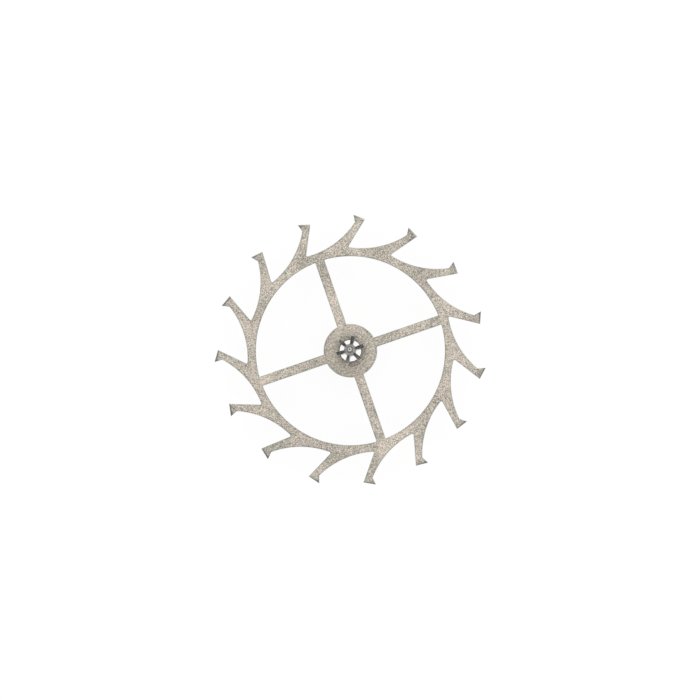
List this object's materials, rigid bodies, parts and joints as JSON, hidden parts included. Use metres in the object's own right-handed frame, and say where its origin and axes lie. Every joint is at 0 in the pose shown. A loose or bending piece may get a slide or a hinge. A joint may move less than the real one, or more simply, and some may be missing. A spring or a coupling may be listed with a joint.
{
  "type": "escape wheel",
  "caption": "Flat club-tooth escape wheel with crossed arms and a hub, pressed on a leaved pinion whose arbor ends in fine pivots; it feeds a lever watch's beat.",
  "frame": {"origin": "on the arbor's axis, at the shoulder of the lower pivot, which rests on the lower jewel", "axes": "+Z along the arbor, from the wheel towards the pinion's leaves; +X along the middle of the first arm; +Y to its left, so that the wheel turns clockwise seen from +Z"},
  "size_m": [0.0052, 0.0052, 0.0021],
  "materials": {
    "wheel_steel": "fine lapped grain, warm grey, faintly scratched, with sharp dark edges",
    "pinion_steel": "hardened and polished, dark grey"
  },
  "bodies": {
    "root": {"escape_wheel": "wheel_steel", "escape_pinion": "pinion_steel"}
  },
  "joints": []
}
